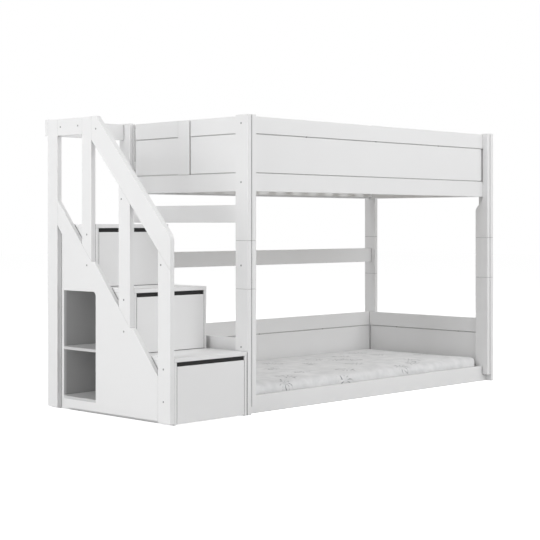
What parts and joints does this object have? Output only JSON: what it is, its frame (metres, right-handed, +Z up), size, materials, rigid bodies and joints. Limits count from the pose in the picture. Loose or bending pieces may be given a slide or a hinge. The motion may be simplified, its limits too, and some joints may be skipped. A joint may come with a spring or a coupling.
{
  "type": "bunk bed with storage stairs",
  "caption": "White bunk bed with boarded guards, a mattress on the floor-level bunk, and storage stairs at one end with step drawers, a shelf bay, a balustrade and an entry gate.",
  "frame": {"origin": "bottom centre of the whole object's bounding box, on the floor", "axes": "+X along the bed from the stairs' end to the far end, +Y from the open front side towards the back, +Z up"},
  "size_m": [2.648, 1.015, 1.52],
  "materials": {
    "white_lacquer": "smooth satin white lacquer over solid boards and panels",
    "slat_wood": "bare pale softwood",
    "black_grip": "matt black",
    "runner_steel": "zinc plated",
    "hinge_steel": "satin nickel",
    "pin_steel": "dark zinc",
    "cap_grey": "matt grey bolt caps",
    "mattress_cover": "quilted pale grey-white knit cover"
  },
  "bodies": {
    "bed_frame": {"post_front_left_lower": "white_lacquer", "post_front_left_upper": "white_lacquer", "post_front_right_lower": "white_lacquer", "post_front_right_upper": "white_lacquer", "post_rear_left_lower": "white_lacquer", "post_rear_left_upper": "white_lacquer", "post_rear_right_lower": "white_lacquer", "post_rear_right_upper": "white_lacquer", "post_middle_blocks": "white_lacquer", "upper_front_rail": "white_lacquer", "upper_front_panel": "white_lacquer", "upper_front_top_board": "white_lacquer", "upper_rear_rail": "white_lacquer", "upper_rear_guard": "white_lacquer", "upper_right_rail": "white_lacquer", "upper_right_guard": "white_lacquer", "upper_left_rail": "white_lacquer", "upper_left_panel": "white_lacquer", "upper_left_top_board": "white_lacquer", "gate_hinges_fixed": "hinge_steel", "upper_slats": "slat_wood", "lower_slats": "slat_wood", "slat_bearers": "white_lacquer", "lower_front_rail": "white_lacquer", "lower_rear_guard": "white_lacquer", "lower_right_guard": "white_lacquer", "lower_left_guard": "white_lacquer", "rear_mid_rail": "white_lacquer", "left_end_mid_rail": "white_lacquer", "lower_mattress": "mattress_cover", "stair_left_cheek": "white_lacquer", "stair_right_cheek": "white_lacquer", "lower_tread": "white_lacquer", "middle_tread": "white_lacquer", "landing_tread": "white_lacquer", "stair_inner_panels": "white_lacquer", "shelf_boards": "white_lacquer", "stair_stringer": "white_lacquer", "newel": "white_lacquer", "baluster": "white_lacquer", "landing_post": "white_lacquer", "stair_rear_post": "white_lacquer", "handrail": "white_lacquer", "stair_side_top_board": "white_lacquer", "stair_rear_guard_board": "white_lacquer", "drawer_runners": "runner_steel", "bolt_caps": "cap_grey", "guard_pins": "pin_steel"},
    "drawer_lower": {"drawer_lower_front": "white_lacquer", "drawer_lower_grip": "black_grip", "drawer_lower_box": "white_lacquer"},
    "drawer_middle": {"drawer_middle_front": "white_lacquer", "drawer_middle_grip": "black_grip", "drawer_middle_box": "white_lacquer"},
    "drawer_upper": {"drawer_upper_front": "white_lacquer", "drawer_upper_grip": "black_grip", "drawer_upper_box": "white_lacquer"},
    "entry_gate": {"gate_frame": "white_lacquer", "gate_panel": "white_lacquer", "gate_hinges_moving": "hinge_steel"}
  },
  "joints": [
    {"name": "drawer_lower_slide", "type": "slide", "parent": "bed_frame", "child": "drawer_lower", "axis": [0, -1, 0], "range_m": [0, 0.36]},
    {"name": "drawer_middle_slide", "type": "slide", "parent": "bed_frame", "child": "drawer_middle", "axis": [0, -1, 0], "range_m": [0, 0.16]},
    {"name": "drawer_upper_slide", "type": "slide", "parent": "bed_frame", "child": "drawer_upper", "axis": [0, -1, 0], "range_m": [0, 0.24]},
    {"name": "entry_gate_hinge", "type": "hinge", "parent": "bed_frame", "child": "entry_gate", "pos_m": [-0.7785, 0.4045, 1.37], "axis": [0, 0, -1], "range_deg": [0, 90]}
  ]
}
